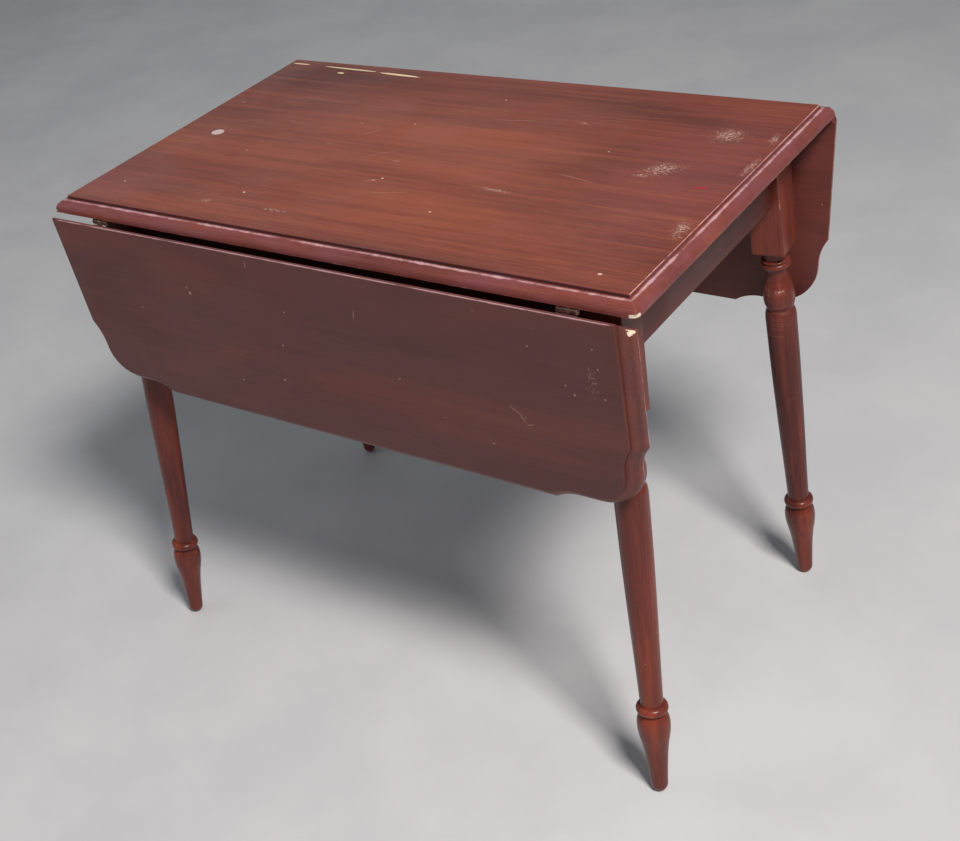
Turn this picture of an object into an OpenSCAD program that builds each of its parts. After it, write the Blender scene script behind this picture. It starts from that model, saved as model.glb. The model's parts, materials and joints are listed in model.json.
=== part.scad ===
// Drop leaf table with splayed turned legs, rule-jointed leaves and pull-out leaf supports.
// Millimetres. +X runs along the length, +Y to the back, +Z up. The origin is on the floor under the centre.

/* [Top] */
// Length of the top and of both leaves
top_l = 870; // [820:5:920]
// Width of the fixed top
top_w = 540; // [538:2:560]
// Thickness of the top and of the leaves
board_t = 19; // [18.5:0.5:20]
// Height of the top surface above the floor
table_h = 745; // [740:5:760]
// Radius of the quarter-round moulding and of the rule joint
ovolo_r = 15; // [14:0.5:15]

/* [Leaves] */
// Width of a leaf from its lip to its outer edge
leaf_w = 276; // [272:2:284]
// Angle by which a hanging leaf leans in from the vertical
leaf_lean = 5.3; // [4:0.1:5.5]
// Gap between the top and the lip of a raised leaf
joint_gap = 2; // [1:0.5:3]
// Depth of the hinge pins below the top's underside
pin_drop = 5; // [4.5:0.5:5.5]
// Distance from the ovolo's centre line out to the hinge pins
hinge_out = 11; // [10.5:0.5:11.5]
// Radius of the large rounded corner of a leaf
corner_r = 55; // [50:1:60]
// Depth of the hollow that steps in from a leaf's end edge and outer edge
step_in = 11; // [9:0.5:12]
// Radius of that hollow
step_r = 60; // [55:1:70]
// Distance from the lip to the hollow of the end edge
end_straight = 170; // [164:1:175]
// Distance from the end edge to the hollow of the outer edge
edge_cove_u = 90; // [80:2:100]

/* [Legs] */
// Distance between the feet along the length
foot_span_x = 836; // [820:2:840]
// Distance between the feet across the width
foot_span_y = 496; // [490:2:500]
// Outward lean of a leg along the length
splay_x = 3.95; // [3.6:0.05:4.1]
// Outward lean of a leg across the width
splay_y = 3.6; // [3.4:0.05:3.8]
// Side of the square block at the head of a leg
block_w = 45; // [44:0.5:46]

/* [Frame] */
// Height of the rails
rail_h = 96; // [90:2:100]
// Thickness of the rails
rail_t = 20; // [18:1:21]
// Distance from the centre to the middle of an end rail
end_rail_x = 375; // [374:0.5:376]
// Distance from the centre to the middle of a side rail
side_rail_y = 206; // [205:0.5:207]

/* [Leaf supports] */
// Width of a slide
slide_w = 24; // [20:1:26]
// Height of a slide
slide_h = 18; // [14:1:20]
// Distance from the centre line to the middle of a slide
slide_x = 16; // [15:1:20]
// Full travel of a slide with its leaf raised
slide_travel = 160; // [120:5:160]

/* [Hinges] */
// Distance from the end of the top to the middle of a hinge
hinge_inset = 83; // [78:1:90]
// Width of a hinge
hinge_w = 25; // [22:1:26]
// Length of the plate under the leaf
leaf_plate_l = 60; // [52:1:70]
// Length of the plate under the top
top_plate_l = 27; // [25:0.5:30]
// Thickness of the hinge plates
plate_t = 1.5; // [1.2:0.1:1.5]

/* [Hidden] */
$fn = 96;
eps = 0.01;
over = 5;
lap = 1;

top_under = table_h - board_t;
end_x = top_l / 2;
edge_y = top_w / 2;

// Hinge line of a leaf
pin_y = edge_y - ovolo_r + hinge_out;
pin_z = top_under - pin_drop;
joint_clear = 0.5;
cove_r = ovolo_r + joint_clear;
leaf_turn = 90 + leaf_lean;

// Leaf outline, counted from its end (u) and from the pin line (v)
lip_v = joint_gap - hinge_out;
leaf_edge_v = lip_v + leaf_w;
step_l = sqrt(step_in * (2 * step_r - step_in));
past_kink = 4;
step_turn = asin(step_l / step_r) + past_kink;
end_cove_v = lip_v + end_straight + step_l;
corner_u = step_in + corner_r;
corner_v = leaf_edge_v - step_in - corner_r;

// Leg stations: distance from the tip, radius
tip_r = 11.2;
foot_stations = [[11.2, 11.2], [30, 12.4], [50, 13.9], [68, 15.6], [84, 17.8], [97, 20.2],
    [108, 21.4], [118, 21.4], [125, 20.2], [129, 18.2]];
ring_a = 140;
ring_core = 14.2;
ring_r = 6.6;
column_stations = [[148, 14.8], [200, 15.9], [260, 17.5], [320, 18.9], [380, 20], [440, 20.6]];
shoulder_stations = [[455, 20.7], [464, 20.6], [470, 19.6], [474, 17.2]];
vase_stations = [[477, 17.2], [481, 19.3], [488, 20.6], [497, 20.6], [507, 19.2], [517, 16.5],
    [525, 14.3], [532, 13.3]];
disc_a = 542.5;
disc_core = 15;
disc_r = 4.6;
bead_a = 549.2;
bead_core = 17;
bead_r = 1.8;
neck_r = 15;
block_a = 565;
block_l = table_h - block_a;
leg_x = foot_span_x / 2;
leg_y = foot_span_y / 2;

// Mortise and tenon joints
tenon_t = 8;
tenon_h = 60;
end_tenon_y = side_rail_y - tenon_t / 2 + 1;
side_tenon_x = end_rail_x - tenon_t / 2 - 4;
tenon_root = 40;
rail_trim = 5;
rail_z = top_under - rail_h;

// Corner braces: strips on the line x + y = a constant, cut to the rails
inner_x = end_rail_x - rail_t / 2;
inner_y = side_rail_y - rail_t / 2;
brace_out = 520;
brace_in = 492;
brace_h = 40;
brace_wall = 13;
brace_sink = 2.5;
brace_screw_z = top_under - brace_h / 2;
end_screw_y = brace_in - (inner_x - brace_wall);
side_screw_x = brace_in - (inner_y - brace_wall);

// Slides and their guide
slide_gap = 0.3;
slide_z = top_under - slide_gap - slide_h;
guide_l = 30;
guide_w = 104;
guide_wall = 12;
guide_z = slide_z - slide_gap - guide_wall;
guide_screw_x = guide_w / 2 - 10;
peg_below = 9;
peg_r = 3;
peg_y = guide_l / 2 + slide_travel + peg_r;
slide_inner_y = peg_y + 8;
rail_face_y = side_rail_y + rail_t / 2;

// Hinges
hinge_x = end_x - hinge_inset;
pin_r = 2;
bore_r = 2.05;
knuckle_r = 4;
knuckle_gap = 0.3;
mid_knuckle = 9;
relief = 3.5;
bridge_v = 6;
bridge_t = 1.2;
plate_h = pin_drop - plate_t;
leaf_screws = [[7, 22], [-7, 22], [0, 48]];
top_screws_at = [[7, -10], [-7, -10], [0, -20]];

// Screws
hinge_screw = [3, 1.5, 13];
brace_screw = [4, 2, 26];
long_screw = [4, 2, 52];
guide_screw = [4, 2, 42];
screw_tip = 3;
slot_w = 0.8;
slot_depth = 0.7;
driver_l = 20;

// ---- curves ----

function spline_at(a, b, c, d, t) =
    (2 * b + (c - a) * t + (2 * a - 5 * b + 4 * c - d) * t * t + (3 * b - a - 3 * c + d) * t * t * t) / 2;

// A smooth curve through the stations p, in n steps between each two
function smooth(p, n = 4) = concat(
    [for (i = [0:len(p) - 2]) for (k = [0:n - 1])
        spline_at(p[max(i - 1, 0)], p[i], p[i + 1], p[min(i + 2, len(p) - 1)], k / n)],
    [p[len(p) - 1]]);

// Points of an arc round [a, r], as [a, r], from angle t0 to t1 measured from the inward side
function bulge(a, core, r, t0, t1, n) =
    [for (k = [0:n]) let(t = t0 + (t1 - t0) * k / n) [a - r * cos(t), core + r * sin(t)]];

function leg_outline() = concat(
    [for (k = [0:8]) [tip_r - tip_r * cos(k * 10), tip_r * sin(k * 10)]],
    smooth(foot_stations),
    bulge(ring_a, ring_core, ring_r, 12, 176, 14),
    smooth(column_stations),
    smooth(shoulder_stations),
    smooth(vase_stations),
    bulge(disc_a, disc_core, disc_r, 10, 160, 12),
    bulge(bead_a, bead_core, bead_r, 20, 170, 8),
    [[bead_a + bead_r + 1, neck_r], [block_a + 1, neck_r], [block_a + 1, 0]]);

// ---- edge mouldings: solids to take away from a board that lies on z = 0 ----

// What is outside the moulding, with the edge at x = 0 and the board at x > 0
module edge_waste() {
    difference() {
        translate([-over, -1]) square([over + ovolo_r, board_t + 2]);
        translate([ovolo_r, 0]) circle(r = ovolo_r);
    }
}

// Along +Y from y0 to y1
module straight_waste(y0, y1) {
    translate([0, y1, 0]) rotate([90, 0, 0]) linear_extrude(y1 - y0) edge_waste();
}

// Round a hollow of radius r, from the x direction on for the angle turn
module hollow_waste(r, turn) {
    rotate_extrude(angle = turn) intersection() {
        translate([r, 0]) edge_waste();
        translate([0, -1]) square([r + ovolo_r, board_t + 2]);
    }
    translate([0, 0, -1]) rotate_extrude(angle = turn) square([r - lap, board_t + 2]);
}

// Round a rounded corner of radius r, for the quarter turn that starts at angle a0
module round_waste(r, a0) {
    rotate([0, 0, a0]) rotate_extrude(angle = 90) translate([r, 0]) mirror([1, 0]) edge_waste();
    rotate([0, 0, a0]) translate([0, 0, -1]) difference() {
        cube([r + 20, r + 20, board_t + 2]);
        translate([0, 0, -1]) cylinder(r = r + lap, h = board_t + 4);
    }
}

// ---- screws ----

// A countersunk wood screw, s = [head radius, shank radius, length], head at z = 0, pointing up
module screw(s) {
    head_h = s[0] - s[1];
    difference() {
        union() {
            cylinder(r1 = s[0], r2 = s[1], h = head_h);
            translate([0, 0, head_h - eps]) cylinder(r = s[1], h = s[2] - head_h - screw_tip + eps);
            translate([0, 0, s[2] - screw_tip]) cylinder(r1 = s[1], r2 = 0.2, h = screw_tip);
        }
        translate([-s[0], -slot_w / 2, -1]) cube([2 * s[0], slot_w, 1 + slot_depth]);
    }
}

// The hole that the screw fills, open below
module screw_hole(s) {
    head_h = s[0] - s[1];
    translate([0, 0, -driver_l]) cylinder(r = s[0], h = driver_l);
    cylinder(r1 = s[0], r2 = s[1], h = head_h);
    cylinder(r = s[1], h = s[2]);
}

// ---- placing ----

// Puts a back right shape at the corner sx, sy = 1 or -1
module at_corner(sx, sy) {
    mirror([sx < 0 ? 1 : 0, 0, 0]) mirror([0, sy < 0 ? 1 : 0, 0]) children();
}

module at_every_corner() {
    for (sx = [-1, 1]) for (sy = [-1, 1]) at_corner(sx, sy) children();
}

// Hinge frame of the back right hinge: y outward, z up, pin at the origin
module at_hinge() {
    translate([hinge_x, pin_y, pin_z]) children();
}

// Leaf frame: y from the pin line to the outer edge, z up when the leaf is raised
module hang_back() {
    translate([0, pin_y, pin_z]) rotate([-leaf_turn, 0, 0]) children();
}

module hang_front() {
    rotate([0, 0, 180]) hang_back() children();
}

// ---- top ----

module top_blank() {
    difference() {
        translate([-end_x - lap, -edge_y - lap, 0]) cube([top_l + 2 * lap, top_w + 2 * lap, board_t]);
        for (s = [0, 180]) rotate([0, 0, s]) {
            translate([-end_x, 0, 0]) straight_waste(-edge_y - over, edge_y + over);
            translate([0, -edge_y, 0]) rotate([0, 0, 90]) straight_waste(-end_x - over, end_x + over);
        }
    }
}

module top_board() color("#6e2f24") difference() {
    translate([0, 0, top_under]) top_blank();
    at_every_corner() {
        at_hinge() for (p = top_screws_at) translate([p[0], p[1], plate_h]) screw_hole(hinge_screw);
        at_long_screw() screw_hole(long_screw);
    }
    at_guide_screws() screw_hole(guide_screw);
}

// ---- leaves ----

// What is taken away round one shaped end, with the end edge at x = 0 and the pin line at y = 0
module leaf_end_waste() {
    tall = board_t + 2;
    straight_waste(lip_v - over, leaf_edge_v + over);
    translate([step_in - step_r, end_cove_v, 0]) mirror([0, 1, 0]) hollow_waste(step_r, step_turn);
    translate([step_in, 0, 0]) straight_waste(end_cove_v, corner_v);
    translate([-over, end_cove_v - over, -1])
        cube([over + step_in - lap, leaf_edge_v + 2 * over - end_cove_v, tall]);
    translate([corner_u, corner_v, 0]) round_waste(corner_r, 90);
    translate([0, leaf_edge_v - step_in, 0]) rotate([0, 0, -90]) straight_waste(corner_u, edge_cove_u);
    translate([-over, leaf_edge_v - step_in + lap, -1]) cube([2 * over + edge_cove_u, step_in + over, tall]);
    translate([edge_cove_u, leaf_edge_v - step_in + step_r, 0]) rotate([0, 0, -90])
        hollow_waste(step_r, step_turn);
}

module leaf_board() {
    difference() {
        translate([-end_x - lap, lip_v, pin_drop]) cube([top_l + 2 * lap, leaf_w + lap, board_t]);
        translate([0, 0, pin_drop]) {
            translate([-end_x, 0, 0]) leaf_end_waste();
            mirror([1, 0, 0]) translate([-end_x, 0, 0]) leaf_end_waste();
            translate([0, leaf_edge_v, 0]) rotate([0, 0, -90])
                straight_waste(-end_x - over, end_x + over);
        }
        translate([-end_x - 1, -hinge_out, pin_drop]) rotate([0, 90, 0]) cylinder(r = cove_r, h = top_l + 2);
        for (sx = [-1, 1]) for (p = leaf_screws)
            translate([sx * hinge_x + p[0], p[1], plate_h]) screw_hole(hinge_screw);
    }
}

module front_leaf() color("#552c2a") hang_front() leaf_board();

module back_leaf() color("#552c2a") hang_back() leaf_board();

// ---- legs ----

// Leg frame of the back right leg: z runs up the leg from its tip
module on_leg() {
    translate([leg_x, leg_y, tip_r]) rotate([splay_y, -splay_x, 0]) translate([0, 0, -tip_r])
        children();
}

module leg_block() {
    on_leg() translate([-block_w / 2, -block_w / 2, block_a]) cube([block_w, block_w, block_l]);
}

module leg() color("#67302a") difference() {
    union() {
        on_leg() rotate_extrude() polygon([for (p = leg_outline()) [p[1], p[0]]]);
        leg_block();
    }
    translate([leg_x - 150, leg_y - 150, top_under]) cube([200, 200, 50]);
    end_tenon();
    side_tenon();
}

module leg_front_left() at_corner(-1, -1) leg();

module leg_front_right() at_corner(1, -1) leg();

module leg_back_left() at_corner(-1, 1) leg();

module leg_back_right() at_corner(1, 1) leg();

// ---- rails ----

// The tenons that enter the back right leg
module end_tenon() {
    z0 = rail_z + (rail_h - tenon_h) / 2;
    translate([end_rail_x - tenon_t / 2, inner_y - tenon_root, z0])
        cube([tenon_t, end_tenon_y - inner_y + tenon_root, tenon_h]);
}

module side_tenon() {
    z0 = rail_z + (rail_h - tenon_h) / 2;
    translate([inner_x - tenon_root, side_rail_y - tenon_t / 2, z0])
        cube([side_tenon_x - inner_x + tenon_root, tenon_t, tenon_h]);
}

// The back rail, with the notch for a slide
module side_rail(slot_x) color("#5e2c24") difference() {
    union() {
        difference() {
            translate([-inner_x + rail_trim, inner_y, rail_z])
                cube([2 * (inner_x - rail_trim), rail_t, rail_h]);
            for (sx = [-1, 1]) at_corner(sx, 1) leg_block();
        }
        for (sx = [-1, 1]) at_corner(sx, 1) side_tenon();
    }
    translate([slot_x - slide_w / 2 - slide_gap, inner_y - 1, slide_z - slide_gap])
        cube([slide_w + 2 * slide_gap, rail_t + 2, slide_h + 2]);
    for (sx = [-1, 1]) at_corner(sx, 1) at_side_screw() screw_hole(brace_screw);
}

module end_rail() color("#5e2c24") difference() {
    union() {
        difference() {
            translate([inner_x, -inner_y + rail_trim, rail_z])
                cube([rail_t, 2 * (inner_y - rail_trim), rail_h]);
            for (sy = [-1, 1]) at_corner(1, sy) leg_block();
        }
        for (sy = [-1, 1]) at_corner(1, sy) end_tenon();
    }
    for (sy = [-1, 1]) at_corner(1, sy) at_end_screw() screw_hole(brace_screw);
}

module rail_front() rotate([0, 0, 180]) side_rail(-slide_x);

module rail_back() side_rail(-slide_x);

module rail_left() at_corner(-1, 1) end_rail();

module rail_right() end_rail();

// ---- corner braces ----

module at_end_screw() {
    translate([inner_x - brace_wall + brace_sink, end_screw_y, brace_screw_z]) rotate([0, 90, 0])
        children();
}

module at_side_screw() {
    translate([side_screw_x, inner_y - brace_wall + brace_sink, brace_screw_z]) rotate([-90, 0, 0])
        children();
}

module at_long_screw() {
    middle = (brace_out + brace_in) / 4;
    shift = (inner_x - inner_y) / 2;
    translate([middle + shift, middle - shift, top_under - brace_h]) children();
}

module brace() color("#8a6a4c") difference() {
    translate([0, 0, top_under - brace_h]) linear_extrude(brace_h)
        polygon([[inner_x, brace_out - inner_x], [inner_x, brace_in - inner_x],
            [brace_in - inner_y, inner_y], [brace_out - inner_y, inner_y]]);
    at_end_screw() screw_hole(brace_screw);
    at_side_screw() screw_hole(brace_screw);
    at_long_screw() screw_hole(long_screw);
}

module brace_front_left() at_corner(-1, -1) brace();

module brace_front_right() at_corner(1, -1) brace();

module brace_back_left() at_corner(-1, 1) brace();

module brace_back_right() at_corner(1, 1) brace();

module brace_screws() color("#b8a468") at_every_corner() {
    at_end_screw() screw(brace_screw);
    at_side_screw() screw(brace_screw);
}

module top_screws() color("#b8a468") at_every_corner() at_long_screw() screw(long_screw);

// ---- leaf supports ----

module slide() color("#8a6a4c") difference() {
    translate([-slide_x - slide_w / 2, -slide_inner_y, slide_z])
        cube([slide_w, slide_inner_y + rail_face_y, slide_h]);
    translate([-slide_x, -peg_y, 0]) cylinder(r = peg_r, h = table_h);
}

module stop_peg() color("#a98d63") translate([-slide_x, -peg_y, slide_z - peg_below])
    cylinder(r = peg_r, h = slide_h + peg_below);

module slide_back() slide();

module slide_front() rotate([0, 0, 180]) slide();

module stop_peg_back() stop_peg();

module stop_peg_front() rotate([0, 0, 180]) stop_peg();

module at_guide_screws() {
    for (sx = [-1, 1]) translate([sx * guide_screw_x, 0, guide_z]) children();
}

module slide_guide() color("#8a6a4c") difference() {
    translate([-guide_w / 2, -guide_l / 2, guide_z]) cube([guide_w, guide_l, top_under - guide_z]);
    for (sx = [-1, 1])
        translate([sx * slide_x - slide_w / 2 - slide_gap, -guide_l / 2 - 1, slide_z - slide_gap])
            cube([slide_w + 2 * slide_gap, guide_l + 2, slide_h + 2]);
    at_guide_screws() screw_hole(guide_screw);
}

module slide_guide_screws() color("#b8a468") at_guide_screws() screw(guide_screw);

// ---- hinges ----

module knuckle(x0, x1) {
    translate([x0, 0, 0]) rotate([0, 90, 0]) cylinder(r = knuckle_r, h = x1 - x0);
}

module pin_bore() {
    translate([-hinge_w, 0, 0]) rotate([0, 90, 0]) cylinder(r = bore_r, h = 2 * hinge_w);
}

// Plate under the top, with the two outer knuckles
module top_plate() color("#6f5b45") at_hinge() difference() {
    half = hinge_w / 2;
    inner = mid_knuckle / 2 + knuckle_gap;
    union() {
        translate([-half, -top_plate_l, plate_h]) cube([hinge_w, top_plate_l - relief, plate_t]);
        for (x0 = [-half, inner]) {
            translate([x0, -relief - 1, plate_h]) cube([half - inner, relief + 1, plate_t - 0.1]);
            knuckle(x0, x0 + half - inner);
        }
    }
    pin_bore();
    for (p = top_screws_at) translate([p[0], p[1], plate_h]) screw_hole(hinge_screw);
}

// Plate under the leaf, with the middle knuckle, in the leaf frame of the raised leaf
module leaf_plate_raised() color("#6f5b45") difference() {
    half = hinge_w / 2;
    union() {
        translate([-half, bridge_v, plate_h]) cube([hinge_w, leaf_plate_l - bridge_v, plate_t]);
        translate([-half, relief, plate_h]) cube([hinge_w, bridge_v - relief + 1, bridge_t]);
        translate([-mid_knuckle / 2, 0, plate_h]) cube([mid_knuckle, relief + 1, bridge_t]);
        knuckle(-mid_knuckle / 2, mid_knuckle / 2);
    }
    pin_bore();
    for (p = leaf_screws) translate([p[0], p[1], plate_h]) screw_hole(hinge_screw);
}

// Pin with a peened head at each end
module hinge_pin() color("#8d7a5c") at_hinge() {
    translate([-hinge_w / 2, 0, 0]) rotate([0, 90, 0]) cylinder(r = pin_r, h = hinge_w);
    for (s = [0, 1]) mirror([s, 0, 0]) translate([hinge_w / 2, 0, 0]) rotate([0, 90, 0])
        cylinder(r1 = 3, r2 = 2.4, h = 0.8);
}

module hinge_front_left_top_plate() at_corner(-1, -1) top_plate();

module hinge_front_right_top_plate() at_corner(1, -1) top_plate();

module hinge_back_left_top_plate() at_corner(-1, 1) top_plate();

module hinge_back_right_top_plate() at_corner(1, 1) top_plate();

module hinge_front_left_leaf_plate() hang_front() translate([hinge_x, 0, 0]) leaf_plate_raised();

module hinge_front_right_leaf_plate() hang_front() translate([-hinge_x, 0, 0]) leaf_plate_raised();

module hinge_back_left_leaf_plate() hang_back() translate([-hinge_x, 0, 0]) leaf_plate_raised();

module hinge_back_right_leaf_plate() hang_back() translate([hinge_x, 0, 0]) leaf_plate_raised();

module hinge_front_left_pin() at_corner(-1, -1) hinge_pin();

module hinge_front_right_pin() at_corner(1, -1) hinge_pin();

module hinge_back_left_pin() at_corner(-1, 1) hinge_pin();

module hinge_back_right_pin() at_corner(1, 1) hinge_pin();

module hinge_screws_top() color("#b8a468") at_every_corner() at_hinge()
    for (p = top_screws_at) translate([p[0], p[1], plate_h]) screw(hinge_screw);

module leaf_screw_group() color("#b8a468") for (sx = [-1, 1]) for (p = leaf_screws)
    translate([sx * hinge_x + p[0], p[1], plate_h]) screw(hinge_screw);

module hinge_screws_front_leaf() hang_front() leaf_screw_group();

module hinge_screws_back_leaf() hang_back() leaf_screw_group();

top_board();
front_leaf();
back_leaf();
leg_front_left();
leg_front_right();
leg_back_left();
leg_back_right();
rail_front();
rail_back();
rail_left();
rail_right();
brace_front_left();
brace_front_right();
brace_back_left();
brace_back_right();
brace_screws();
top_screws();
slide_front();
slide_back();
stop_peg_front();
stop_peg_back();
slide_guide();
slide_guide_screws();
hinge_front_left_top_plate();
hinge_front_left_leaf_plate();
hinge_front_left_pin();
hinge_front_right_top_plate();
hinge_front_right_leaf_plate();
hinge_front_right_pin();
hinge_back_left_top_plate();
hinge_back_left_leaf_plate();
hinge_back_left_pin();
hinge_back_right_top_plate();
hinge_back_right_leaf_plate();
hinge_back_right_pin();
hinge_screws_top();
hinge_screws_front_leaf();
hinge_screws_back_leaf();
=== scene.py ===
"""Looks of the drop leaf table: red-brown stained wood with a worn finish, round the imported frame."""

import json
import math

import bpy
from mathutils import Euler, Matrix, Vector, noise


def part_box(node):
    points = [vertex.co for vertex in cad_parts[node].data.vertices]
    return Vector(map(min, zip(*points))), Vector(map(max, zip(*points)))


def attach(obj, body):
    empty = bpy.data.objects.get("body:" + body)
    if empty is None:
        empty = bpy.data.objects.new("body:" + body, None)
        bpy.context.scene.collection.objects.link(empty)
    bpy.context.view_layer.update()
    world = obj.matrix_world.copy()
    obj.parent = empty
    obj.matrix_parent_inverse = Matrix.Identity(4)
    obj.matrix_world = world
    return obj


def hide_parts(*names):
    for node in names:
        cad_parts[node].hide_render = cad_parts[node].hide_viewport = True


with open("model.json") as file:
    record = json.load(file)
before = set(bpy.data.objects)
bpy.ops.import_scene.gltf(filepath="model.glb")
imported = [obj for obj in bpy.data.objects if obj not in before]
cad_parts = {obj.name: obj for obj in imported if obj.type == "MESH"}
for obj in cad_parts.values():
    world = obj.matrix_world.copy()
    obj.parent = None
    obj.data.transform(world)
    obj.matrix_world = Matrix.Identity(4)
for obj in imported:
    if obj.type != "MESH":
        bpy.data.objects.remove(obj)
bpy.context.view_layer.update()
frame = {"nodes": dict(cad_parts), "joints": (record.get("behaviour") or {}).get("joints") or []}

MM = 0.001

# ---------------------------------------------------------------- camera

CAMERA_AT = (1.0365, -1.3786, 1.4463)
CAMERA_TURN = (54.696, 9.073, 35.716)
CAMERA_LENS = 52.44
CAMERA_SHIFT = (0.1141, 0.0635)
SENSOR_W = 36

camera_data = bpy.data.cameras.new("camera")
camera_data.lens = CAMERA_LENS
camera_data.sensor_width = SENSOR_W
camera_data.shift_x, camera_data.shift_y = CAMERA_SHIFT
camera = bpy.data.objects.new("camera", camera_data)
camera.location = CAMERA_AT
camera.rotation_euler = Euler([math.radians(a) for a in CAMERA_TURN], "XYZ")
bpy.context.scene.collection.objects.link(camera)
bpy.context.scene.camera = camera

# ---------------------------------------------------------------- sizes, from the frame

top_low, top_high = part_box("top_board")
TOP_UNDER = top_low.z
BOARD_T = top_high.z - top_low.z
HALF_L = top_high.x
HALF_W = top_high.y
OVOLO_R = 15 * MM
ARRIS = 0.6 * MM

joints = {j["name"]: j for j in frame["joints"]}
PIN_Y = joints["back_leaf_hinge"]["pos_m"][1]
PIN_Z = joints["back_leaf_hinge"]["pos_m"][2]
LEAF_TURN = math.radians(joints["back_leaf_hinge"]["range_deg"][1])
PIN_DROP = TOP_UNDER - PIN_Z
HINGE_OUT = PIN_Y - (HALF_W - OVOLO_R)
JOINT_GAP = 2 * MM
LIP_V = JOINT_GAP - HINGE_OUT
LEAF_W = 276 * MM
LEAF_EDGE_V = LIP_V + LEAF_W
COVE_R = OVOLO_R + 0.5 * MM
STEP_IN = 11 * MM
STEP_R = 60 * MM
CORNER_R = 55 * MM
END_STRAIGHT = 170 * MM
EDGE_COVE_U = 90 * MM

LEG_TIP = Vector((418 * MM, 248 * MM, 11.2 * MM))
TIP_R = 11.2
SPLAY = (3.6, -3.95)
BLOCK_HALF = 22.5
BLOCK_A = 565
BLOCK_EDGE = 1.2
LEG_SMOOTH_ANGLE = 40


# ---------------------------------------------------------------- meshes

def make_piece(name, loops, attributes, place=Matrix.Identity(4), smooth_angle=34):
    """A closed skin over loops of equal length, capped at both ends and put in its place.

    attributes holds a value for each loop point; "grain" keeps each point's place in the loops' own frame.
    """
    count = len(loops[0])
    points = [p for loop in loops for p in loop]
    faces = [list(reversed(range(count)))]
    for k in range(len(loops) - 1):
        a, b = k * count, (k + 1) * count
        for i in range(count):
            j = (i + 1) % count
            faces.append([a + i, a + j, b + j, b + i])
    last = (len(loops) - 1) * count
    faces.append([last + i for i in range(count)])
    mesh = bpy.data.meshes.new(name)
    mesh.from_pydata([tuple(p) for p in points], [], faces)
    grain = mesh.attributes.new("grain", "FLOAT_VECTOR", "POINT")
    grain.data.foreach_set("vector", [c for p in points for c in p])
    for key, values in attributes.items():
        layer = mesh.attributes.new(key, "FLOAT", "POINT")
        layer.data.foreach_set("value", values)
    mesh.transform(place)
    if place.determinant() < 0:
        mesh.flip_normals()
    mesh.shade_smooth()
    mesh.set_sharp_from_angle(angle=math.radians(smooth_angle))
    piece = bpy.data.objects.new(name, mesh)
    bpy.context.scene.collection.objects.link(piece)
    return piece


def arc(cx, cy, r, start, end, steps):
    """Points of an arc in the plane, angles in degrees, both ends included."""
    angles = [math.radians(start + (end - start) * k / steps) for k in range(steps + 1)]
    return [(cx + r * math.cos(t), cy + r * math.sin(t)) for t in angles]


def line(a, b, steps):
    """Points from a towards b, without b."""
    return [(a[0] + (b[0] - a[0]) * k / steps, a[1] + (b[1] - a[1]) * k / steps) for k in range(steps)]


LAYERS = ("wear", "mould", "pale", "dirt")


def moulding_levels(ovolo_steps=16):
    """(inset, height, wear, mould, pale, dirt) up the moulded edge of a board, from underside to top.

    pale is the broken light line along the crown: worn finish and a painted highlight. dirt is the dark
    foot of the step above it: grime and painted shade.
    """
    levels = [(ARRIS, 0, 0.3, 0.3, 0, 0), (ARRIS * 0.3, ARRIS * 0.3, 0.75, 1, 0, 0)]
    for k in range(1, ovolo_steps + 1):
        t = math.radians(90 * (0.06 + 0.94 * k / ovolo_steps))
        inset = OVOLO_R * (1 - math.cos(t))
        height = OVOLO_R * math.sin(t)
        # The crown line is worn finish with a painted highlight.
        pale = max(0, 1 - abs(k / ovolo_steps - 0.84) / 0.17)
        # The step's foot is darkened: grime and painted shade.
        dirt = 0.7 if k == ovolo_steps else 0
        levels.append((inset, height, 0.1, 1, pale, dirt))
    fillet = OVOLO_R + 0.05 * MM
    levels.append((fillet, OVOLO_R + ARRIS, 0, 1, 0, 1))
    levels.append((fillet, BOARD_T - 2 * ARRIS, 0, 1, 0, 1))
    levels.append((fillet + ARRIS * 0.3, BOARD_T - 0.35 * ARRIS, 0.55, 0.6, 0, 0))
    levels.append((fillet + ARRIS * 1.1, BOARD_T, 0.4, 0.2, 0, 0))
    levels.append((fillet + ARRIS * 4, BOARD_T, 0, 0, 0, 0))
    return levels


def chipped(point, chips):
    """Pushes a point in towards each chip's inner side, and says how far into a chip it lies."""
    depth = 0.0
    for centre, radius, push in chips:
        away = (point - centre).length / radius
        ragged = 0.75 + 0.5 * noise.noise(point * 700)
        if away < ragged:
            bite = 1 - away / ragged
            point = point + push * min(1, 1.8 * bite)
            depth = max(depth, min(1, 3 * bite))
    return point, depth


def top_loop(inset, height):
    """One loop of the fixed top: a rectangle with small rounded corners."""
    z = TOP_UNDER + height
    r = max(3.2 * MM - inset, 0.7 * MM)
    x, y = HALF_L - inset - r, HALF_W - inset - r
    points = []
    corner_steps = 6
    for cx, cy, start in ((x, y, 0), (-x, y, 90), (-x, -y, 180), (x, -y, 270)):
        points += arc(cx, cy, r, start, start + 90, corner_steps)
    spaced = []
    corner = corner_steps + 1
    for side, steps in enumerate((96, 60, 96, 60)):
        spaced += points[side * corner:side * corner + corner - 1]
        a = points[side * corner + corner - 1]
        b = points[(side * corner + corner) % len(points)]
        spaced += line(a, b, steps)
    return [Vector((px, py, z)) for px, py in spaced]


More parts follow.
